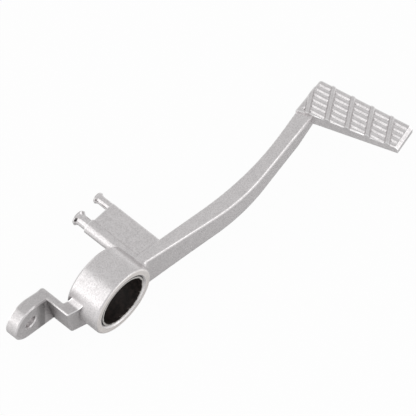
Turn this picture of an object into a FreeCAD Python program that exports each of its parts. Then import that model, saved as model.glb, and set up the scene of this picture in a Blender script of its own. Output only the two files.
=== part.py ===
import FreeCAD, Part
import math
import os
import Sketcher
from FreeCAD import Placement, Rotation, Vector

# Rear brake pedal of a motorcycle, right-hand side, with its pressed-in pivot bush.
# Pivot axis along Y (outboard is -Y), lever forward along +X, up is +Z, millimetres.

doc = FreeCAD.newDocument("brake_pedal")
sheet = doc.addObject("Spreadsheet::Sheet", "sizes")

# Bush and the hub round it
numbers = [
    ("bush_radius", 14),
    ("bush_wall", 1.5),
    ("bush_recess", 0.3),
    ("bush_bevel", 0.5),
    ("hub_wall", 4),
    ("hub_length", 18.6),
    ("hub_rim", 1.1),
    ("bore_bevel", 0.7),
    ("arm_blend", 2.4),
    ("tang_blend", 4.4),
]

# Lever arm: plan, bends and underside; peaks and kink are measured back from the arm's end
numbers += [
    ("arm_sink", 10),
    ("arm_end", 128),
    ("arm_top", 8),
    ("arm_outer_start", -3.6),
    ("arm_outer_peak", 55),
    ("arm_outer_side", -15.8),
    ("arm_outer_end", -8.2),
    ("arm_outer_bend", 100),
    ("arm_inner_start", 1.45),
    ("arm_inner_peak", 43.4),
    ("arm_inner_side", -8.9),
    ("arm_inner_end", -0.15),
    ("arm_inner_bend", 170),
    ("arm_low_start", -15.8),
    ("arm_low_kink", -4.1),
    ("arm_low_end", -0.5),
    ("arm_low_bow", 900),
    ("arm_kink", 12),
    ("arm_edge_outer", 2),
    ("arm_edge_inner", 1.2),
    ("arm_edge_low", 2),
]

# Foot tread: corners measured from the inner end of the arm, depths below the crest
numbers += [
    ("tread_step", 1.1),
    ("tread_far_root", 15.2),
    ("tread_far_root_side", 1.75),
    ("tread_far_tip", 24.7),
    ("tread_far_tip_side", -46.05),
    ("tread_near_tip", 11.7),
    ("tread_near_tip_side", -48.75),
    ("tread_near_root", -1.3),
    ("tread_near_root_side", -7.85),
    ("tread_neck", -4.5),
    ("tread_neck_side", -0.95),
    ("tread_root_depth", 8.05),
    ("tread_tip_depth", 4.5),
    ("tread_corner", 1.2),
    ("tread_edge", 0.6),
    ("tip_bevel", 1.4),
    ("near_bevel", 0.45),
    ("groove_depth", 0.5),
    ("groove_mouth", 1.5),
    ("groove_floor", 0.5),
    ("groove_lean", 0.3),
    ("groove_inset", 0.9),
    ("groove_stop", 0.5),
    ("groove_pitch", 2.85),
    ("groove_first", 2.6),
    ("groove_count", 6),
    ("rib_rise", 0.8),
    ("rib_width", 3.4),
    ("rib_top", 1.4),
    ("rib_slant", 32),
    ("rib_first", 3.4),
    ("rib_pitch", 10.3),
    ("rib_count", 5),
]

# Spring web with its boss and the two headed pegs
numbers += [
    ("web_drop", 1.1),
    ("web_thickness", 4.5),
    ("web_span", 13.5),
    ("web_reach", 27),
    ("boss_sink", 1),
    ("boss_drop", 3.7),
    ("boss_radius", 3.6),
    ("boss_reach", 27.5),
    ("big_neck", 2.8),
    ("big_head", 3.9),
    ("big_length", 7.6),
    ("small_neck", 2.1),
    ("small_head", 2.9),
    ("small_length", 8.8),
    ("head_lip", 1.3),
    ("head_flare", 1.8),
    ("flare_hollow", 0.25),
    ("lip_round", 0.3),
]

# Tang: root on the hub, joggle running inboard, ear with the pushrod hole
numbers += [
    ("tang_offset", 6.6),
    ("tang_top", 4.4),
    ("tang_bottom", -16.7),
    ("tang_lean", 4.8),
    ("tang_draft", 2),
    ("joggle_thickness", 3.6),
    ("root_thickness", 5.9),
    ("root_slant", 5.3),
    ("ear_face", 15),
    ("ear_thickness", 6.1),
    ("ear_across", -34.8),
    ("ear_up", -2.8),
    ("ear_radius", 10.1),
    ("tang_corner", 0.6),
    ("tang_heel", 1.5),
    ("tang_edge", 0.6),
    ("pin_radius", 3.1),
    ("pin_bevel", 0.5),
]

for row, (name, number) in enumerate(numbers, start=1):
    sheet.set("A%d" % row, name.replace("_", " "))
    sheet.set("B%d" % row, str(number))
    sheet.setAlias("B%d" % row, name)
doc.recompute()

# Places that follow from the sizes
hub_radius = "(sizes.bush_radius + sizes.hub_wall)"
hub_end = "(sizes.hub_length / 2)"
arm_start = "(" + hub_radius + " - sizes.arm_sink)"
bush_end = "(sizes.hub_length / 2 - sizes.bush_recess)"
bush_inside = "(sizes.bush_radius - sizes.bush_wall)"
tread_crest = "(sizes.arm_top + sizes.tread_step)"
groove_bed = "(" + tread_crest + " - sizes.groove_depth)"
web_top = "(sizes.arm_top - sizes.web_drop)"
web_low = "(" + web_top + " - sizes.web_thickness)"
web_middle = "(" + web_top + " - sizes.web_thickness / 2)"
boss_across = "(" + hub_radius + " - sizes.boss_sink)"
boss_up = "(sizes.arm_top - sizes.boss_drop)"
small_across = "(" + boss_across + " + sizes.web_span)"
tang_rear = "(-" + hub_radius + " - sizes.tang_offset)"
root_inner = "(" + hub_end + " - sizes.hub_rim)"
root_outer = "(" + root_inner + " - sizes.root_thickness)"
ear_back = "(sizes.ear_face + sizes.ear_thickness)"

# The blend on top of the tang's root stops short of the inside corner of the joggle.
joggle_gap = "(sizes.tang_offset - sizes.joggle_thickness)"
blend_room = "((2 * %s * %s + %s ^ 2 + sizes.tang_top ^ 2) / (2 * (%s - sizes.tang_top)))" % (
    hub_radius,
    joggle_gap,
    joggle_gap,
    hub_radius,
)
tang_blend = "min(sizes.tang_blend; %s - sizes.tang_edge)" % blend_room

up = Vector(0, 0, 1)
down = Vector(0, 0, -1)
inboard = Vector(0, 1, 0)
outboard = Vector(0, -1, 0)
alike = 0.9

# The turn's axis is set here; an expression on its angle replaces the starting degree.
turned_about_upright = Placement(Vector(0, 0, 0), Rotation(Vector(0, 1, 0), 1))


def amount(text):
    return float(sheet.evalExpression(text))


def touches(gap, reach=0.02):
    return abs(gap) < reach


def place(across, rise):
    return Vector(amount(across), amount(rise), 0)


def new_body(name):
    return doc.addObject("PartDesign::Body", name)


def new_sketch(body, name, role):
    planes = [feature for feature in body.Origin.OriginFeatures if feature.Role == role]
    sketch = body.newObject("Sketcher::SketchObject", name)
    sketch.AttachmentSupport = [(planes[0], "")]
    sketch.MapMode = "FlatFace"
    return sketch


def tie(sketch, name, constraint, text):
    index = sketch.addConstraint(constraint)
    sketch.renameConstraint(index, name)
    sketch.setExpression("Constraints." + name, text)


def near_end(sketch, side, spot):
    first = sketch.getPoint(side, 1)
    last = sketch.getPoint(side, 2)
    return 1 if first.distanceToPoint(spot) < last.distanceToPoint(spot) else 2


def join(sketch, kind, one, one_end, other, other_end):
    sketch.addConstraint(Sketcher.Constraint(kind, one, one_end, other, other_end))


def pin(sketch, name, side, end, across, rise):
    spot = sketch.getPoint(side, end)
    tie(sketch, name + "_across", Sketcher.Constraint("DistanceX", -1, 1, side, end, spot.x), across)
    tie(sketch, name + "_rise", Sketcher.Constraint("DistanceY", -1, 1, side, end, spot.y), rise)


def bow(sketch, name, arc, radius):
    tie(sketch, name, Sketcher.Constraint("Radius", arc, amount(radius)), radius)


# Closed outline through the corners; a bowed side has a radius and bulges to its left.
def outline(sketch, corners, bows=None):
    bows = bows or {}
    spots = [place(across, rise) for across, rise in corners]
    sides = []
    for number, spot in enumerate(spots):
        after = spots[(number + 1) % len(spots)]
        shape = Part.LineSegment(spot, after)
        if number in bows:
            radius = amount(bows[number])
            chord = after - spot
            bulge = radius - (radius ** 2 - chord.Length ** 2 / 4) ** 0.5
            left = Vector(-chord.y, chord.x, 0).normalize()
            shape = Part.Arc(spot, (spot + after) * 0.5 + left * bulge, after)
        sides.append(sketch.addGeometry(shape, False))
    for number, spot in enumerate(spots):
        side = sides[number]
        before = sides[number - 1]
        start = near_end(sketch, side, spot)
        join(sketch, "Coincident", before, near_end(sketch, before, spot), side, start)
        pin(sketch, "corner_%d" % number, side, start, corners[number][0], corners[number][1])
    for number in bows:
        bow(sketch, "bow_%d" % number, sides[number], bows[number])


# Two straight runs joined by a tangent bend; both runs aim at one peak point.
def bent_side(sketch, name, first, peak, last, radius):
    start, tip, finish = [place(across, rise) for across, rise in (first, peak, last)]
    back = (start - tip).normalize()
    ahead = (finish - tip).normalize()
    half = back.getAngle(ahead) / 2
    bend_start = tip + back * (amount(radius) / math.tan(half))
    bend_finish = tip + ahead * (amount(radius) / math.tan(half))
    crown = tip + (back + ahead).normalize() * (amount(radius) / math.sin(half) - amount(radius))
    run_in = sketch.addGeometry(Part.LineSegment(start, bend_start), False)
    bend = sketch.addGeometry(Part.Arc(bend_start, crown, bend_finish), False)
    run_out = sketch.addGeometry(Part.LineSegment(bend_finish, finish), False)
    point = sketch.addGeometry(Part.Point(tip), True)
    join(sketch, "Tangent", run_in, 2, bend, near_end(sketch, bend, bend_start))
    join(sketch, "Tangent", run_out, 1, bend, near_end(sketch, bend, bend_finish))
    sketch.addConstraint(Sketcher.Constraint("PointOnObject", point, 1, run_in))
    sketch.addConstraint(Sketcher.Constraint("PointOnObject", point, 1, run_out))
    bow(sketch, name + "_bend", bend, radius)
    pin(sketch, name + "_start", run_in, 1, first[0], first[1])
    pin(sketch, name + "_peak", point, 1, peak[0], peak[1])
    pin(sketch, name + "_finish", run_out, 2, last[0], last[1])
    return run_in, run_out


def ring(sketch, name, across, rise, radius):
    circle = sketch.addGeometry(Part.Circle(place(across, rise), up, amount(radius)), False)
    bow(sketch, name + "_radius", circle, radius)
    pin(sketch, name, circle, 3, across, rise)


def extrude(body, kind, name, sketch, length=None, reverse=False, symmetric=False):
    feature = body.newObject("PartDesign::" + kind, name)
    feature.Profile = sketch
    feature.Reversed = reverse
    if symmetric:
        feature.SideType = "Symmetric"
    if length:
        feature.setExpression("Length", length)
    else:
        feature.Type = "ThroughAll"
    doc.recompute()
    return feature


# Full turn of a profile about the upright axis of its sketch
def turn(body, kind, name, sketch):
    feature = body.newObject("PartDesign::" + kind, name)
    feature.Profile = sketch
    feature.ReferenceAxis = (sketch, ["V_Axis"])
    feature.Angle = 360
    doc.recompute()


def repeat(body, name, feature, direction, reverse, pitch, count):
    pattern = body.newObject("PartDesign::LinearPattern", name)
    pattern.Originals = [feature]
    pattern.Direction = direction
    pattern.Reversed = reverse
    pattern.setExpression("Length", "%s * (%s - 1)" % (pitch, count))
    pattern.setExpression("Occurrences", count)
    body.Tip = pattern
    doc.recompute()


def middle(edge):
    return edge.valueAt((edge.FirstParameter + edge.LastParameter) / 2)


def ends(edge):
    return edge.valueAt(edge.FirstParameter), edge.valueAt(edge.LastParameter)


def edge_names(shape, test):
    return ["Edge%d" % (number + 1) for number, edge in enumerate(shape.Edges) if test(edge)]


# Edges where a face looking one way meets a face looking the other way
def edges_between(shape, one, other):
    def meets(edge, way):
        faces = shape.ancestorsOfType(edge, Part.Face)
        normals = [face.normalAt(*face.Surface.parameter(middle(edge))) for face in faces]
        return any(normal.dot(way) > alike for normal in normals)

    return edge_names(shape, lambda edge: meets(edge, one) and meets(edge, other))


def dress(body, kind, name, edges, prop, text):
    base = body.Tip
    feature = body.newObject("PartDesign::" + kind, name)
    feature.Base = (base, edges)
    feature.setExpression(prop, text)
    doc.recompute()


# Hub barrel
def is_rim(edge):
    return edge.Curve.TypeId == "Part::GeomCircle"


hub = new_body("hub_barrel")
sketch = new_sketch(hub, "hub_ring", "XZ_Plane")
ring(sketch, "rim", "0", "0", hub_radius)
extrude(hub, "Pad", "hub_pad", sketch, "sizes.hub_length", symmetric=True)
for name, kind, prop, side in [("outer", "Fillet", "Radius", -1), ("inner", "Chamfer", "Size", 1)]:
    edges = edge_names(hub.Shape, lambda edge: is_rim(edge) and edge.CenterOfMass.y * side > 0)
    dress(hub, kind, "hub_%s_rim" % name, edges, prop, "sizes.hub_rim")

# Lever arm: bent plan, underside cut away towards the tread, rounded long edges
arm = new_body("lever_arm")
sketch = new_sketch(arm, "arm_plan", "XY_Plane")
sketch.setExpression("AttachmentOffset.Base.z", "sizes.arm_top")
outer_runs = bent_side(
    sketch,
    "outer",
    (arm_start, "sizes.arm_outer_start"),
    ("sizes.arm_end - sizes.arm_outer_peak", "sizes.arm_outer_side"),
    ("sizes.arm_end", "sizes.arm_outer_end"),
    "sizes.arm_outer_bend",
)
inner_runs = bent_side(
    sketch,
    "inner",
    (arm_start, "sizes.arm_inner_start"),
    ("sizes.arm_end - sizes.arm_inner_peak", "sizes.arm_inner_side"),
    ("sizes.arm_end", "sizes.arm_inner_end"),
    "sizes.arm_inner_bend",
)
for outer, inner, end in zip(outer_runs, inner_runs, (1, 2)):
    closing = Part.LineSegment(sketch.getPoint(outer, end), sketch.getPoint(inner, end))
    side = sketch.addGeometry(closing, False)
    join(sketch, "Coincident", outer, end, side, 1)
    join(sketch, "Coincident", inner, end, side, 2)
extrude(arm, "Pad", "arm_block", sketch, "sizes.arm_top + " + hub_radius, reverse=True)
sketch = new_sketch(arm, "arm_underside", "XZ_Plane")
outline(
    sketch,
    [
        ("0", "sizes.arm_low_start"),
        ("sizes.arm_end - sizes.arm_kink", "sizes.arm_low_kink"),
        ("sizes.arm_end", "sizes.arm_low_end"),
        ("sizes.arm_end", "-2 * " + hub_radius),
        ("0", "-2 * " + hub_radius),
    ],
    {0: "sizes.arm_low_bow"},
)
extrude(arm, "Pocket", "arm_hollow", sketch, symmetric=True)
for name, level, side in [("outer", up, outboard), ("inner", up, inboard), ("low", down, outboard)]:
    edges = edges_between(arm.Shape, level, side)
    dress(arm, "Fillet", "arm_%s_edge" % name, edges, "Radius", "sizes.arm_edge_" + name)


# Foot tread block with its tapering underside
def tread_corner(across, side):
    return "(sizes.arm_end + sizes.%s)" % across, "(sizes.arm_inner_end + sizes.%s)" % side


far_root = tread_corner("tread_far_root", "tread_far_root_side")
far_tip = tread_corner("tread_far_tip", "tread_far_tip_side")
near_tip = tread_corner("tread_near_tip", "tread_near_tip_side")
near_root = tread_corner("tread_near_root", "tread_near_root_side")
neck = tread_corner("tread_neck", "tread_neck_side")
tread_corners = [far_root, neck, near_root, near_tip, far_tip]


# Upright edge at the rounded corner between the far edge and the root
def far_corner(edge):
    goal = place(*far_root)
    return all(touches(math.hypot(spot.x - goal.x, spot.y - goal.y)) for spot in ends(edge))


# Straight edge of the crest along the line through two corners
def crest_edge(edge, one, other):
    start = place(*one) + up * amount(tread_crest)
    way = place(*other) - place(*one)
    return all(touches(spot.distanceToLine(start, way)) for spot in ends(edge))


def tip_edge(edge):
    return crest_edge(edge, near_tip, far_tip)


def near_edge(edge):
    return crest_edge(edge, near_root, near_tip)


def free_low_edge(edge):
    first, last = ends(edge)
    half_way = amount("%s - sizes.tread_tip_depth / 2" % tread_crest)
    return max(first.z, last.z) < half_way and middle(edge).x > amount(near_root[0])


tread = new_body("foot_tread")
sketch = new_sketch(tread, "tread_plan", "XY_Plane")
sketch.setExpression("AttachmentOffset.Base.z", tread_crest)
outline(sketch, tread_corners)
extrude(tread, "Pad", "tread_block", sketch, "2 * sizes.tread_root_depth", reverse=True)
sketch = new_sketch(tread, "tread_underside", "YZ_Plane")
outline(
    sketch,
    [
        (far_root[1], tread_crest + " - sizes.tread_root_depth"),
        (near_tip[1], tread_crest + " - sizes.tread_tip_depth"),
        (near_tip[1], tread_crest + " - 3 * sizes.tread_root_depth"),
        (far_root[1], tread_crest + " - 3 * sizes.tread_root_depth"),
    ],
)
extrude(tread, "Pocket", "tread_taper", sketch, symmetric=True)
dress(tread, "Chamfer", "tip_slope", edge_names(tread.Shape, tip_edge), "Size", "sizes.tip_bevel")
dress(tread, "Chamfer", "near_slope", edge_names(tread.Shape, near_edge), "Size", "sizes.near_bevel")
dress(tread, "Fillet", "tread_corners", edge_names(tread.Shape, far_corner), "Radius", "sizes.tread_corner")
dress(tread, "Fillet", "tread_rims", edge_names(tread.Shape, free_low_edge), "Radius", "sizes.tread_edge")

# Grooves run along the far edge, from just inside the root to short of the tip, with one wall steeper.
far_across = "(sizes.tread_far_tip - sizes.tread_far_root)"
far_side = "(sizes.tread_far_root_side - sizes.tread_far_tip_side)"
far_angle = "atan(%s / %s)" % (far_across, far_side)
far_length = "sqrt(%s ^ 2 + %s ^ 2)" % (far_across, far_side)
sketch = new_sketch(tread, "groove_section", "XZ_Plane")
sketch.AttachmentOffset = turned_about_upright
groove_across = "%s + sizes.groove_inset * sin(%s)" % (far_root[0], far_angle)
groove_side = "%s - sizes.groove_inset * cos(%s)" % (far_root[1], far_angle)
sketch.setExpression("AttachmentOffset.Base.x", groove_across)
sketch.setExpression("AttachmentOffset.Base.z", "-(%s)" % groove_side)
sketch.setExpression("AttachmentOffset.Rotation.Angle", far_angle)
outline(
    sketch,
    [
        ("-sizes.groove_first - sizes.groove_mouth / 2", tread_crest),
        ("-sizes.groove_first - sizes.groove_lean - sizes.groove_floor / 2", groove_bed),
        ("-sizes.groove_first - sizes.groove_lean + sizes.groove_floor / 2", groove_bed),
        ("-sizes.groove_first + sizes.groove_mouth / 2", tread_crest),
    ],
)
groove_length = far_length + " - sizes.groove_inset - sizes.tip_bevel - sizes.groove_stop"
groove = extrude(tread, "Pocket", "first_groove", sketch, groove_length, reverse=True)
repeat(tread, "grooves", groove, (sketch, ["H_Axis"]), True, "sizes.groove_pitch", "sizes.groove_count")

# Cross ribs: slanted bars repeated along the far edge, trimmed by the tread's outline
bars = new_body("rib_bars")
sketch = new_sketch(bars, "rib_section", "XZ_Plane")
sketch.AttachmentOffset = turned_about_upright
sketch.setExpression("AttachmentOffset.Base.x", far_root[0])
sketch.setExpression("AttachmentOffset.Base.z", "-%s - sizes.rib_first" % far_root[1])
sketch.setExpression("AttachmentOffset.Rotation.Angle", "sizes.rib_slant - 90")
outline(
    sketch,
    [
        ("-sizes.rib_width / 2", groove_bed),
        ("sizes.rib_width / 2", groove_bed),
        ("sizes.rib_top / 2", tread_crest + " + sizes.rib_rise"),
        ("-sizes.rib_top / 2", tread_crest + " + sizes.rib_rise"),
    ],
)
bar = extrude(bars, "Pad", "first_bar", sketch, "2 * (%s - %s)" % (far_root[1], near_tip[1]), symmetric=True)
guide = new_sketch(bars, "rib_guide", "XY_Plane")
line = guide.addGeometry(Part.LineSegment(place(*far_root), place(*far_tip)), True)
pin(guide, "root", line, 1, far_root[0], far_root[1])
pin(guide, "tip", line, 2, far_tip[0], far_tip[1])
repeat(bars, "bar_rows", bar, (guide, ["Axis0"]), False, "sizes.rib_pitch", "sizes.rib_count")
trim = new_body("rib_trim")
sketch = new_sketch(trim, "trim_plan", "XY_Plane")
sketch.setExpression("AttachmentOffset.Base.z", groove_bed)
outline(sketch, tread_corners)
extrude(trim, "Pad", "trim_block", sketch, "sizes.groove_depth + sizes.rib_rise")
dress(trim, "Fillet", "trim_corners", edge_names(trim.Shape, far_corner), "Radius", "sizes.tread_corner")
ribs = doc.addObject("Part::Common", "cross_ribs")
ribs.Base = bars
ribs.Tool = trim

# Spring web: flat plate from the boss to a round far edge, both rooted inside the arm
web = new_body("spring_web")
sketch = new_sketch(web, "web_section", "XZ_Plane")
sketch.setExpression("AttachmentOffset.Base.z", "-sizes.arm_outer_start")
outline(
    sketch,
    [(boss_across, web_low), (small_across, web_low), (small_across, web_top), (boss_across, web_top)],
)
extrude(web, "Pad", "web_plate", sketch, "sizes.web_reach - sizes.arm_outer_start", reverse=True)
sketch = new_sketch(web, "web_edge_ring", "XZ_Plane")
sketch.setExpression("AttachmentOffset.Base.z", "-sizes.arm_outer_start")
ring(sketch, "edge", small_across, web_middle, "sizes.web_thickness / 2")
extrude(web, "Pad", "web_edge", sketch, "sizes.web_reach - sizes.arm_outer_start", reverse=True)
sketch = new_sketch(web, "boss_ring", "XZ_Plane")
sketch.setExpression("AttachmentOffset.Base.z", "-sizes.arm_outer_start / 2")
ring(sketch, "boss", boss_across, boss_up, "sizes.boss_radius")
extrude(web, "Pad", "boss_pad", sketch, "sizes.boss_reach - sizes.arm_outer_start / 2", reverse=True)


# Peg turned about an axis along Y: neck, hollow flare and a head with a rounded lip
def turned_peg(name, across, rise, base, neck, head, length):
    sketch = new_sketch(web, name + "_profile", "XY_Plane")
    sketch.setExpression("AttachmentOffset.Base.x", across)
    sketch.setExpression("AttachmentOffset.Base.z", rise)
    end = base + " + " + length
    swell = "%s + (%s - %s) * sizes.flare_hollow" % (neck, head, neck)
    outline(
        sketch,
        [
            ("0", base + " - sizes.head_lip"),
            (neck, base + " - sizes.head_lip"),
            (neck, end + " - sizes.head_lip - sizes.head_flare"),
            (swell, end + " - sizes.head_lip - sizes.head_flare / 2"),
            (head, end + " - sizes.head_lip"),
            (head + " - sizes.head_lip * sizes.lip_round", end + " - sizes.head_lip * sizes.lip_round"),
            (head + " - sizes.head_lip", end),
            ("0", end),
        ],
    )
    turn(web, "Revolution", name, sketch)


turned_peg("big_peg", boss_across, boss_up, "sizes.boss_reach",
           "sizes.big_neck", "sizes.big_head", "sizes.big_length")
turned_peg("small_peg", small_across, web_middle, "sizes.web_reach",
           "sizes.small_neck", "sizes.small_head", "sizes.small_length")

# Tang: root and joggle lofted between a top and a bottom outline, rooted inside the hub
tang = new_body("rear_tang")


def tang_outline(name, level, lean, draft):
    sketch = new_sketch(tang, name, "XY_Plane")
    sketch.setExpression("AttachmentOffset.Base.z", level)
    rear = tang_rear + " + " + lean
    front = rear + " + sizes.joggle_thickness"
    root = "-sizes.bush_radius / 2 + " + lean
    outline(
        sketch,
        [
            (rear, root_outer + " + " + draft),
            (rear, ear_back),
            (front, ear_back),
            (front, root_inner),
            (root, root_inner + " - sizes.root_slant"),
            (root, root_outer + " - sizes.root_slant + " + draft),
        ],
    )
    return sketch


top = tang_outline("tang_top_plan", "sizes.tang_top", "0", "0")
low = tang_outline("tang_low_plan", "sizes.tang_bottom", "sizes.tang_lean", "sizes.tang_draft")
loft = tang.newObject("PartDesign::AdditiveLoft", "tang_loft")
loft.Profile = top
loft.Sections = [low]
loft.Ruled = True
doc.recompute()

# Ear: round end, tangent sides, and a leaning joint buried in half the joggle's thickness
sketch = new_sketch(tang, "ear_side", "XZ_Plane")
sketch.setExpression("AttachmentOffset.Base.z", "-sizes.ear_face")
joints = [
    (tang_rear + " + sizes.tang_lean", "sizes.tang_bottom"),
    (tang_rear + " + sizes.tang_lean + sizes.joggle_thickness / 2", "sizes.tang_bottom"),
    (tang_rear + " + sizes.joggle_thickness / 2", "sizes.tang_top"),
    (tang_rear, "sizes.tang_top"),
]
corners = [place(across, rise) for across, rise in joints]
round_end = Part.Circle(place("sizes.ear_across", "sizes.ear_up"), up, amount("sizes.ear_radius"))
arc = sketch.addGeometry(Part.ArcOfCircle(round_end, math.radians(75), math.radians(258)), False)
chain = [sketch.addGeometry(Part.LineSegment(sketch.getPoint(arc, 2), corners[0]), False)]
for before, after in zip(corners, corners[1:] + [sketch.getPoint(arc, 1)]):
    chain.append(sketch.addGeometry(Part.LineSegment(before, after), False))
    join(sketch, "Coincident", chain[-2], 2, chain[-1], 1)
join(sketch, "Tangent", chain[0], 1, arc, 2)
join(sketch, "Tangent", chain[-1], 2, arc, 1)
bow(sketch, "round_radius", arc, "sizes.ear_radius")
pin(sketch, "round_centre", arc, 3, "sizes.ear_across", "sizes.ear_up")
for number, (across, rise) in enumerate(joints):
    pin(sketch, "joint_%d" % number, chain[number], 2, across, rise)
extrude(tang, "Pad", "ear_plate", sketch, "sizes.ear_thickness", reverse=True)


# Full-height edges of the joggle: the outboard rear corner, and the heel behind the ear
def full_height(edge):
    first, last = ends(edge)
    return touches(abs(first.z - last.z) - amount("sizes.tang_top - sizes.tang_bottom"))


def rear_corner(edge):
    spot = middle(edge)
    on_rear = touches(spot.x - amount(tang_rear + " + sizes.tang_lean / 2"))
    return full_height(edge) and on_rear and spot.y < amount("(%s + sizes.ear_face) / 2" % root_outer)


def heel(edge):
    spot = middle(edge)
    in_front = spot.x > amount(tang_rear + " + (sizes.tang_lean + sizes.joggle_thickness) / 2")
    return full_height(edge) and in_front and spot.y > amount("sizes.ear_face")


# Outer rim of the ear and the rear top edge of the joggle
def tang_rim(edge):
    first, last = ends(edge)
    spots = [first, middle(edge), last]
    face = amount("sizes.ear_face")
    rear = amount(tang_rear)
    on_face = all(touches(spot.y - face) for spot in spots)
    on_top = all(touches(spot.z - amount("sizes.tang_top")) for spot in spots)
    on_rear = all(touches(spot.x - rear) for spot in spots)
    return (on_face and spots[1].x < rear) or (on_top and on_rear and spots[1].y < face)


def pin_rim(edge):
    return is_rim(edge) and touches(edge.Curve.Radius - amount("sizes.pin_radius"))


dress(tang, "Chamfer", "tang_corner", edge_names(tang.Shape, rear_corner), "Size", "sizes.tang_corner")
dress(tang, "Fillet", "tang_heel", edge_names(tang.Shape, heel), "Radius", "sizes.tang_heel")
dress(tang, "Chamfer", "tang_rims", edge_names(tang.Shape, tang_rim), "Size", "sizes.tang_edge")
sketch = new_sketch(tang, "pin_ring", "XZ_Plane")
ring(sketch, "pin", "sizes.ear_across", "sizes.ear_up", "sizes.pin_radius")
extrude(tang, "Pocket", "pin_hole", sketch, symmetric=True)
dress(tang, "Chamfer", "pin_bevels", edge_names(tang.Shape, pin_rim), "Size", "sizes.pin_bevel")

# One casting: everything joined, the roots blended into the hub, then the pivot bore
union = doc.addObject("Part::MultiFuse", "casting_union")
union.Shapes = [hub, arm, tread, ribs, web, tang]
union.Refine = True
doc.recompute()
casting = new_body("pedal_casting")
casting.BaseFeature = union
casting.Label = "pedal_casting"
doc.recompute()


# Edges lying on the barrel of the hub, clear of its rounded rims and its seam
def on_barrel(edge):
    span = edge.LastParameter - edge.FirstParameter
    spots = [edge.valueAt(edge.FirstParameter + span * step / 6) for step in range(7)]
    on_round = all(touches(math.hypot(spot.x, spot.z) - amount(hub_radius)) for spot in spots)
    on_rim = touches(abs(spots[3].y) - amount(hub_end + " - sizes.hub_rim"))
    seam = edge.Curve.TypeId == "Part::GeomLine" and touches(spots[3].z)
    return on_round and not on_rim and not seam


def arm_root(edge):
    arm_middle = amount("(sizes.arm_outer_start + sizes.arm_inner_start) / 2")
    return on_barrel(edge) and middle(edge).x > 0 and middle(edge).y < arm_middle


def tang_root(edge):
    on_top = touches(middle(edge).z - amount("sizes.tang_top"))
    return on_barrel(edge) and middle(edge).x < 0 and on_top


dress(casting, "Fillet", "arm_blend", edge_names(casting.Shape, arm_root), "Radius", "sizes.arm_blend")
dress(casting, "Fillet", "tang_blend", edge_names(casting.Shape, tang_root), "Radius", tang_blend)
sketch = new_sketch(casting, "bore_profile", "XY_Plane")
outline(
    sketch,
    [
        ("0", "-%s - sizes.bore_bevel" % hub_end),
        ("sizes.bush_radius + 2 * sizes.bore_bevel", "-%s - sizes.bore_bevel" % hub_end),
        ("sizes.bush_radius", "-%s + sizes.bore_bevel" % hub_end),
        ("sizes.bush_radius", "%s - sizes.bore_bevel" % hub_end),
        ("sizes.bush_radius + 2 * sizes.bore_bevel", "%s + sizes.bore_bevel" % hub_end),
        ("0", "%s + sizes.bore_bevel" % hub_end),
    ],
)
turn(casting, "Groove", "pivot_bore", sketch)

# Dry bush pressed into the bore, its ends just below the hub faces
bush = new_body("pivot_bush")
bush.Label = "pivot_bush"
sketch = new_sketch(bush, "bush_profile", "XY_Plane")
outline(
    sketch,
    [
        (bush_inside, "-%s + sizes.bush_bevel / 2" % bush_end),
        (bush_inside + " + sizes.bush_bevel / 2", "-" + bush_end),
        ("sizes.bush_radius - sizes.bush_bevel", "-" + bush_end),
        ("sizes.bush_radius", "-%s + sizes.bush_bevel" % bush_end),
        ("sizes.bush_radius", "%s - sizes.bush_bevel" % bush_end),
        ("sizes.bush_radius - sizes.bush_bevel", bush_end),
        (bush_inside + " + sizes.bush_bevel / 2", bush_end),
        (bush_inside, "%s - sizes.bush_bevel / 2" % bush_end),
    ],
)
turn(bush, "Revolution", "bush_turned", sketch)

for thing in doc.Objects:
    if "Invalid" in thing.State or "Error" in thing.State:
        raise RuntimeError(thing.Name + " did not build: " + ", ".join(thing.State))

os.makedirs("parts", exist_ok=True)
for node in [casting, bush]:
    shape = node.Shape
    if shape.isNull() or not shape.isValid() or len(shape.Solids) != 1:
        raise RuntimeError(node.Label + " is not one sound solid")
    shape.exportStep("parts/" + node.Label + ".step")
    print(node.Label, round(shape.Volume), "mm3", len(shape.Faces), "faces", shape.BoundBox)
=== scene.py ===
import math
import bpy
import numpy as np
from mathutils import Matrix, Vector

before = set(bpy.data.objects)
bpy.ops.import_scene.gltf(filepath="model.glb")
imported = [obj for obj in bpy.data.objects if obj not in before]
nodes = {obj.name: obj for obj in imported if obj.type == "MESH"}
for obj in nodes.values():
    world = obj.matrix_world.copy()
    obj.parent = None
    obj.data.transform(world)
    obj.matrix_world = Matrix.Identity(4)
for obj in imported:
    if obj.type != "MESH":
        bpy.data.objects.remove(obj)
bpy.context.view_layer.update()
print("frame loaded:", sorted(nodes))


# small helpers that build the node materials
def startMaterial(name):
    mat = bpy.data.materials.new(name)
    mat.use_nodes = True
    tree = mat.node_tree
    tree.nodes.clear()
    out = tree.nodes.new("ShaderNodeOutputMaterial")
    skin = tree.nodes.new("ShaderNodeBsdfPrincipled")
    tree.links.new(skin.outputs["BSDF"], out.inputs["Surface"])
    return mat, tree, skin


def addNode(tree, kind, settings=None, **sockets):
    node = tree.nodes.new(kind)
    for key, value in (settings or {}).items():
        setattr(node, key, value)
    for key, value in sockets.items():
        plug(tree, node.inputs[key.replace("_", " ")], value)
    return node


def plug(tree, socket, value):  # a node output is linked, anything else is set on the socket
    if isinstance(value, bpy.types.NodeSocket):
        tree.links.new(value, socket)
    else:
        socket.default_value = value


def maths(tree, operation, first, second=0.0):
    node = tree.nodes.new("ShaderNodeMath")
    node.operation = operation
    plug(tree, node.inputs[0], first)
    plug(tree, node.inputs[1], second)
    return node.outputs[0]


# straight line from start to end while the factor runs from low to high, level beyond
def ramp(tree, factor, low, high, start=0.0, end=1.0):
    node = addNode(tree, "ShaderNodeMapRange", {"clamp": True}, Value=factor, From_Min=low, From_Max=high,
                   To_Min=start, To_Max=end)
    return node.outputs["Result"]


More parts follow.
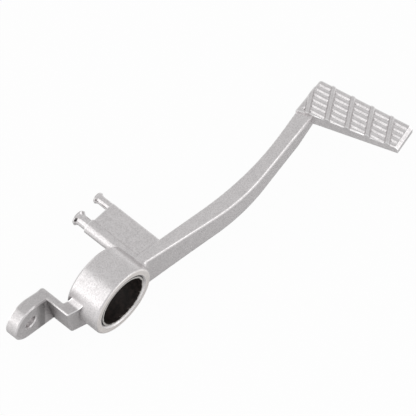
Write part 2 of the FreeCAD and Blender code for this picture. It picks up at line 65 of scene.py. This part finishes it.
def length(tree, first, second):  # root of the sum of the two squares
    squares = [maths(tree, "MULTIPLY", part, part) for part in (first, second)]
    return maths(tree, "SQRT", maths(tree, "ADD", *squares))


def blendNumber(tree, factor, first, second):
    return addNode(tree, "ShaderNodeMix", Factor=factor, A=first, B=second).outputs[0]


def blendColour(tree, factor, first, second):
    node = tree.nodes.new("ShaderNodeMix")
    node.data_type = "RGBA"
    plug(tree, node.inputs[0], factor)
    plug(tree, node.inputs[6], first)
    plug(tree, node.inputs[7], second)
    return node.outputs[2]


shelterRays = 8


# 1 in the open and less beside inner corners, or beside outer edges when looking inside
def shelter(tree, reach, inside=False):
    settings = {"samples": shelterRays, "only_local": True, "inside": inside}
    return addNode(tree, "ShaderNodeAmbientOcclusion", settings, Distance=reach).outputs["AO"]


def dress(node, mat):
    mesh = nodes[node].data
    mesh.materials.clear()
    mesh.materials.append(mat)


# fine blasted casting: grain under a millimetre over a slow cast waviness, edges rubbed bright with a painted
# highlight, painted shade lines in the inner corners, painted shade on the tang and the ear, and the hub's
# ends turned bright with a painted warm reflection
castingLook = {
    "pale": (0.775, 0.752, 0.754, 1.0),
    "deep": (0.597, 0.576, 0.579, 1.0),
    "toneLow": 0.38,
    "toneHigh": 0.62,
    "grainPerMetre": 1500.0,
    "grainDetail": 3.0,
    "grainMix": 0.6,
    "grainShare": 0.78,
    "grainHeight": 0.00004,
    "grainBump": 0.6,
    "wavesPerMetre": 330.0,
    "waveDetail": 4.0,
    "waveMix": 0.55,
    "waveShare": 0.22,
    "waveHeight": 0.00003,
    "waveBump": 0.5,
    "edge": (0.92, 0.91, 0.91, 1.0),  # where handling and tumbling polish the edges, brightened further as a painted highlight
    "edgeReach": 0.0007,
    "edgeSharp": 0.62,
    "edgeFlat": 0.93,
    "paintedShade": (0.23, 0.22, 0.22, 1.0),  # painted shade where the ear meets the tang, also the colour of the painted shade on the tang and ear
    "recessReach": 0.011,
    "recessFull": 0.35,
    "recessNone": 0.92,
    "recessMiddle": -0.0235,  # along the lever, and how far to each side it reaches and fades
    "recessHalf": 0.0055,
    "recessFade": 0.0085,
    "seam": (0.4, 0.385, 0.387, 1.0),  # painted shade as a thin line along the web's and boss's inner corners
    "seamReach": 0.0014,
    "seamFull": 0.52,
    "seamNone": 0.78,
    "seamEnds": 0.115,  # no painted shade line on the tread beyond this
    "seamGone": 0.119,
    "roughLow": 0.27,
    "roughHigh": 0.38,
    "roughEdge": 0.22,
    "roughPeg": 0.17,  # the spring pegs are turned smooth
    "pegFrom": 0.0268,
    "pegTo": 0.0274,
    "shadeShare": 0.22,  # painted shade on the tang's upward faces and on the ear's outboard face
    "shadeFrom": -0.0195,
    "shadeTo": -0.0185,
    "upwardFrom": 0.5,
    "upwardFull": 0.8,
    "earFrom": -0.0262,
    "earTo": -0.0255,
    "outboardFull": -0.9,
    "outboardNone": -0.6,
    "cornerShare": 0.8,  # and more of it on the ear beside the corner
    "cornerFrom": -0.0286,
    "cornerTo": -0.0312,
    "holePlace": (-0.0348, -0.0028),  # the painted shade stays off the ear's hole and its bevel
    "holeUnshaded": 0.0036,
    "holeGone": 0.0041,
    "facedAndReflection": (0.9, 0.855, 0.83, 1.0),  # the hub's two ends are turned bright, with a painted warm reflection
    "facedLevel": 0.0093,
    "facedNear": 0.0003,
    "facedOff": 0.0007,
    "facedRadius": 0.0182,
    "facedSoft": 0.0002,
    "squareFrom": 0.85,
    "squareFull": 0.95,
}


def makeCasting(look):
    mat, tree, skin = startMaterial("blastedCasting")
    place = addNode(tree, "ShaderNodeTexCoord").outputs["Object"]
    axes = addNode(tree, "ShaderNodeSeparateXYZ", Vector=place).outputs
    grain = addNode(tree, "ShaderNodeTexNoise", Vector=place, Scale=look["grainPerMetre"],
                    Detail=look["grainDetail"], Roughness=look["grainMix"]).outputs["Fac"]
    waves = addNode(tree, "ShaderNodeTexNoise", Vector=place, Scale=look["wavesPerMetre"],
                    Detail=look["waveDetail"], Roughness=look["waveMix"]).outputs["Fac"]
    tone = maths(tree, "ADD", maths(tree, "MULTIPLY", grain, look["grainShare"]),
                 maths(tree, "MULTIPLY", waves, look["waveShare"]))
    clean = blendColour(tree, ramp(tree, tone, look["toneLow"], look["toneHigh"]), look["deep"], look["pale"])

    # painted shade: thin dark lines where the inner corners close in, none on the tread
    nook = shelter(tree, look["seamReach"])
    seamless = maths(tree, "MAXIMUM", ramp(tree, nook, look["seamFull"], look["seamNone"]),
                     ramp(tree, axes["X"], look["seamEnds"], look["seamGone"]))
    seamed = blendColour(tree, seamless, look["seam"], clean)
    # painted shade beside the corner where the ear meets the tang, kept to a band along the lever
    corner = shelter(tree, look["recessReach"])
    away = maths(tree, "ABSOLUTE", maths(tree, "SUBTRACT", axes["X"], look["recessMiddle"]))
    openness = maths(tree, "MAXIMUM", ramp(tree, corner, look["recessFull"], look["recessNone"]),
                     ramp(tree, away, look["recessHalf"], look["recessFade"]))
    body = blendColour(tree, openness, look["paintedShade"], seamed)

    # painted shade on the tang's upward faces and the ear's outboard face, stronger beside the corner, kept
    # off the hole
    side = addNode(tree, "ShaderNodeNewGeometry").outputs["True Normal"]
    facing = addNode(tree, "ShaderNodeSeparateXYZ", Vector=side).outputs
    top = maths(tree, "MULTIPLY", ramp(tree, axes["X"], look["shadeFrom"], look["shadeTo"], 1.0, 0.0),
                ramp(tree, facing["Z"], look["upwardFrom"], look["upwardFull"]))
    ear = maths(tree, "MULTIPLY", ramp(tree, axes["X"], look["earFrom"], look["earTo"], 1.0, 0.0),
                ramp(tree, facing["Y"], look["outboardFull"], look["outboardNone"], 1.0, 0.0))
    beside = ramp(tree, axes["X"], look["cornerTo"], look["cornerFrom"],
                  look["shadeShare"], look["cornerShare"])
    sideShade = maths(tree, "MAXIMUM", maths(tree, "MULTIPLY", top, look["shadeShare"]),
                    maths(tree, "MULTIPLY", ear, beside))
    holeX, holeZ = look["holePlace"]
    fromHole = length(tree, maths(tree, "SUBTRACT", axes["X"], holeX),
                      maths(tree, "SUBTRACT", axes["Z"], holeZ))
    dullnessAndShade = maths(tree, "MULTIPLY", sideShade, ramp(tree, fromHole, look["holeUnshaded"], look["holeGone"]))
    body = blendColour(tree, dullnessAndShade, body, look["paintedShade"])

    # the hub's turned ends, brightened and warmed as a painted reflection
    level = maths(tree, "ABSOLUTE", axes["Y"])
    offEnd = maths(tree, "ABSOLUTE", maths(tree, "SUBTRACT", level, look["facedLevel"]))
    within = ramp(tree, length(tree, axes["X"], axes["Z"]), look["facedRadius"],
                  look["facedRadius"] + look["facedSoft"], 1.0, 0.0)
    atEnd = ramp(tree, offEnd, look["facedNear"], look["facedOff"], 1.0, 0.0)
    nearEnd = maths(tree, "MULTIPLY", atEnd, within)
    square = ramp(tree, maths(tree, "ABSOLUTE", facing["Y"]), look["squareFrom"], look["squareFull"])
    body = blendColour(tree, maths(tree, "MULTIPLY", nearEnd, square), body, look["facedAndReflection"])

    # worn edges, brightened further as a painted highlight
    ridge = shelter(tree, look["edgeReach"], inside=True)
    rubbedAndHighlit = ramp(tree, ridge, look["edgeSharp"], look["edgeFlat"], 1.0, 0.0)
    plug(tree, skin.inputs["Base Color"], blendColour(tree, rubbedAndHighlit, body, look["edge"]))

    blasted = ramp(tree, tone, look["toneLow"], look["toneHigh"], look["roughHigh"], look["roughLow"])
    worn = blendNumber(tree, rubbedAndHighlit, blasted, look["roughEdge"])
    turned = ramp(tree, axes["Y"], look["pegFrom"], look["pegTo"])
    plug(tree, skin.inputs["Roughness"], blendNumber(tree, turned, worn, look["roughPeg"]))
    coarse = addNode(tree, "ShaderNodeBump", Strength=look["waveBump"], Distance=look["waveHeight"],
                     Height=waves)
    fine = addNode(tree, "ShaderNodeBump", Strength=look["grainBump"], Distance=look["grainHeight"],
                   Height=grain, Normal=coarse.outputs["Normal"])
    plug(tree, skin.inputs["Normal"], fine.outputs["Normal"])
    skin.inputs["Metallic"].default_value = 1.0
    return mat


# pressed bush: bare steel back at the rim, dark dry lining inside made darker as painted shade, painted black
# shade in the crevice against the hub
bushLook = {
    "steel": (0.62, 0.60, 0.58, 1.0),
    # the lining's colour is darkened further as painted shade inside the bore
    "liningAndShade": (0.014, 0.012, 0.011, 1.0),
    "smear": (0.045, 0.032, 0.028, 1.0),
    "smearLow": 0.4,
    "smearHigh": 0.7,
    "paintedCreviceShade": (0.03, 0.03, 0.03, 1.0),
    "liningRadius": 0.0128,
    "ragged": 0.0015,  # how unevenly the lining ends near the bush's mouths
    "raggedMiddle": 0.5,
    "mouthFrom": 0.0060,
    "mouthTo": 0.0082,
    "creviceRadius": 0.01355,
    "softness": 0.0001,
    "liningMetal": 0.5,
    "spotsPerMetre": 420.0,
    "spotDetail": 5.0,
    "spotMix": 0.65,
    "spotLow": 0.3,
    "spotHigh": 0.7,
    "spotHeight": 0.00003,
    "spotBump": 0.4,
    "roughLow": 0.42,
    "roughHigh": 0.6,
    "steelSmoother": -0.12,
}


def makeBush(look):
    mat, tree, skin = startMaterial("dryLining")
    place = addNode(tree, "ShaderNodeTexCoord").outputs["Object"]
    axes = addNode(tree, "ShaderNodeSeparateXYZ", Vector=place).outputs
    radius = length(tree, axes["X"], axes["Z"])

    def beyond(distance, limit):
        return ramp(tree, distance, limit - look["softness"], limit + look["softness"])

    spots = addNode(tree, "ShaderNodeTexNoise", Vector=place, Scale=look["spotsPerMetre"],
                    Detail=look["spotDetail"], Roughness=look["spotMix"]).outputs["Fac"]
    level = maths(tree, "ABSOLUTE", axes["Y"])
    mouth = ramp(tree, level, look["mouthFrom"], look["mouthTo"], 0.0, look["ragged"])
    uneven = maths(tree, "MULTIPLY", maths(tree, "SUBTRACT", spots, look["raggedMiddle"]), mouth)
    steelShare = beyond(maths(tree, "ADD", radius, uneven), look["liningRadius"])
    smeared = ramp(tree, spots, look["smearLow"], look["smearHigh"])
    liningAndShade = blendColour(tree, smeared, look["liningAndShade"], look["smear"])
    ring = blendColour(tree, steelShare, liningAndShade, look["steel"])
    # painted black shade in the crevice where the bush meets the hub
    paintedCreviceShade = beyond(radius, look["creviceRadius"])
    plug(tree, skin.inputs["Base Color"], blendColour(tree, paintedCreviceShade, ring, look["paintedCreviceShade"]))
    plug(tree, skin.inputs["Metallic"], ramp(tree, steelShare, 0.0, 1.0, look["liningMetal"], 1.0))
    dullnessAndShade = ramp(tree, spots, look["spotLow"], look["spotHigh"], look["roughLow"], look["roughHigh"])
    plug(tree, skin.inputs["Roughness"],
         maths(tree, "ADD", dullnessAndShade, maths(tree, "MULTIPLY", steelShare, look["steelSmoother"])))
    bump = addNode(tree, "ShaderNodeBump", Strength=look["spotBump"], Distance=look["spotHeight"],
                   Height=spots)
    plug(tree, skin.inputs["Normal"], bump.outputs["Normal"])
    return mat


dress("pedal_casting", makeCasting(castingLook))
dress("pivot_bush", makeBush(bushLook))
print("metals dressed")


# pale floor: white to the camera and in the metal's reflections, but it still takes the object's shadow
floorLook = {
    "level": -0.0182,
    "halfWidth": 3.0,
    "colour": (0.72, 0.72, 0.72, 1.0),
    "roughness": 0.9,
    "gloss": 0.1,
    "white": (1.0, 1.0, 1.0, 1.0),
    "whiteSeen": 0.96,
    "whiteBelow": 0.0,  # share of plain white where the metal mirrors the floor from straight above
    "whiteFar": 1.0,  # and where it mirrors it at a low slant
    "slantSteep": 0.1,
    "slantLow": 0.6,
}


# flat square: the four corners are plus and minus the half width, all at the floor's level
def makeFloor(look):
    spread = np.array([(-1, -1), (1, -1), (1, 1), (-1, 1)]) * look["halfWidth"]
    corners = np.column_stack((spread, np.full(len(spread), look["level"])))
    mesh = bpy.data.meshes.new("paleFloor")
    mesh.from_pydata(corners.tolist(), [], [(0, 1, 2, 3)])
    floor = bpy.data.objects.new("paleFloor", mesh)
    bpy.context.scene.collection.objects.link(floor)
    mat, tree, skin = startMaterial("palePaper")
    skin.inputs["Base Color"].default_value = look["colour"]
    skin.inputs["Roughness"].default_value = look["roughness"]
    skin.inputs["Specular IOR Level"].default_value = look["gloss"]
    rays = addNode(tree, "ShaderNodeLightPath").outputs
    seen = maths(tree, "MULTIPLY", rays["Is Camera Ray"], look["whiteSeen"])
    slant = addNode(tree, "ShaderNodeLayerWeight").outputs["Facing"]
    sheen = ramp(tree, slant, look["slantSteep"], look["slantLow"], look["whiteBelow"], look["whiteFar"])
    bounced = maths(tree, "MAXIMUM", rays["Is Glossy Ray"], rays["Is Transmission Ray"])
    mirrored = maths(tree, "MULTIPLY", bounced, sheen)
    glow = addNode(tree, "ShaderNodeEmission", Color=look["white"], Strength=1.0)
    mix = tree.nodes.new("ShaderNodeMixShader")
    plug(tree, mix.inputs[0], maths(tree, "MAXIMUM", seen, mirrored))
    plug(tree, mix.inputs[1], skin.outputs["BSDF"])
    plug(tree, mix.inputs[2], glow.outputs["Emission"])
    out = next(node for node in tree.nodes if node.type == "OUTPUT_MATERIAL")
    tree.links.new(mix.outputs[0], out.inputs["Surface"])
    mesh.materials.append(mat)


makeFloor(floorLook)

# soft white room
roomLook = {"colour": (1.0, 1.0, 1.0, 1.0), "lit": 0.75, "seen": 1.0}


def makeRoom(look):
    world = bpy.data.worlds.new("softRoom")
    bpy.context.scene.world = world
    world.use_nodes = True
    tree = world.node_tree
    room = tree.nodes["Background"]
    room.inputs["Color"].default_value = look["colour"]
    direct = addNode(tree, "ShaderNodeLightPath").outputs["Is Camera Ray"]
    plug(tree, room.inputs["Strength"], ramp(tree, direct, 0.0, 1.0, look["lit"], look["seen"]))


makeRoom(roomLook)

# a broad lamp and a low one from behind, and a long one from outboard
rearPanelLook = {
    "place": (-0.90, 0.30, 0.68),
    "aim": (0.0, 0.0, 0.03),
    "width": 1.4,
    "height": 1.25,
    "radiance": 0.66,
}
rearLowLook = {
    "place": (-0.60, 0.32, 0.11),
    "aim": (0.0, 0.0, 0.02),
    "width": 1.0,
    "height": 0.24,
    "radiance": 0.46,
}
sideStripLook = {
    "place": (0.35, -0.80, 0.14),
    "aim": (0.06, 0.0, 0.0),
    "width": 1.0,
    "height": 0.33,
    "radiance": 1.1,
}


def placeLamp(name, look):
    lamp = bpy.data.lights.new(name, "AREA")
    lamp.shape = "RECTANGLE"
    lamp.size = look["width"]
    lamp.size_y = look["height"]
    lamp.energy = look["radiance"] * math.pi * look["width"] * look["height"]  # watts for that brightness
    lampObject = bpy.data.objects.new(name, lamp)
    lampObject.location = look["place"]
    beam = Vector(look["aim"]) - Vector(look["place"])
    lampObject.rotation_euler = beam.to_track_quat("-Z", "Y").to_euler()
    bpy.context.scene.collection.objects.link(lampObject)


placeLamp("rearPanel", rearPanelLook)
placeLamp("rearLow", rearLowLook)
placeLamp("sideStrip", sideStripLook)
print("floor, room and lamps placed")

# camera: nearly parallel view from outboard, behind and above
cameraLook = {
    "azimuth": -47.363,
    "elevation": 57.669,
    "distance": 5.0,
    "aim": (0.05326, -0.01181, 0.01953),
    "viewWidth": 0.18703,
    "sensor": 36.0,
    "farthest": 20.0,
}


def placeCamera(look):
    turn, tilt = math.radians(look["azimuth"]), math.radians(look["elevation"])
    back = Vector((math.sin(turn) * math.cos(tilt), -math.cos(turn) * math.cos(tilt), math.sin(tilt)))
    right = Vector((math.cos(turn), math.sin(turn), 0.0))
    up = back.cross(right)
    data = bpy.data.cameras.new("studioCamera")
    data.sensor_width = look["sensor"]
    data.lens = data.sensor_width * look["distance"] / look["viewWidth"]
    data.clip_end = look["farthest"]
    cam = bpy.data.objects.new("studioCamera", data)
    turned = Matrix((right, up, back)).transposed().to_4x4()
    cam.matrix_world = Matrix.Translation(Vector(look["aim"]) + back * look["distance"]) @ turned
    bpy.context.scene.collection.objects.link(cam)
    bpy.context.scene.camera = cam


placeCamera(cameraLook)
bpy.context.scene.view_settings.view_transform = "Standard"
print("camera placed")
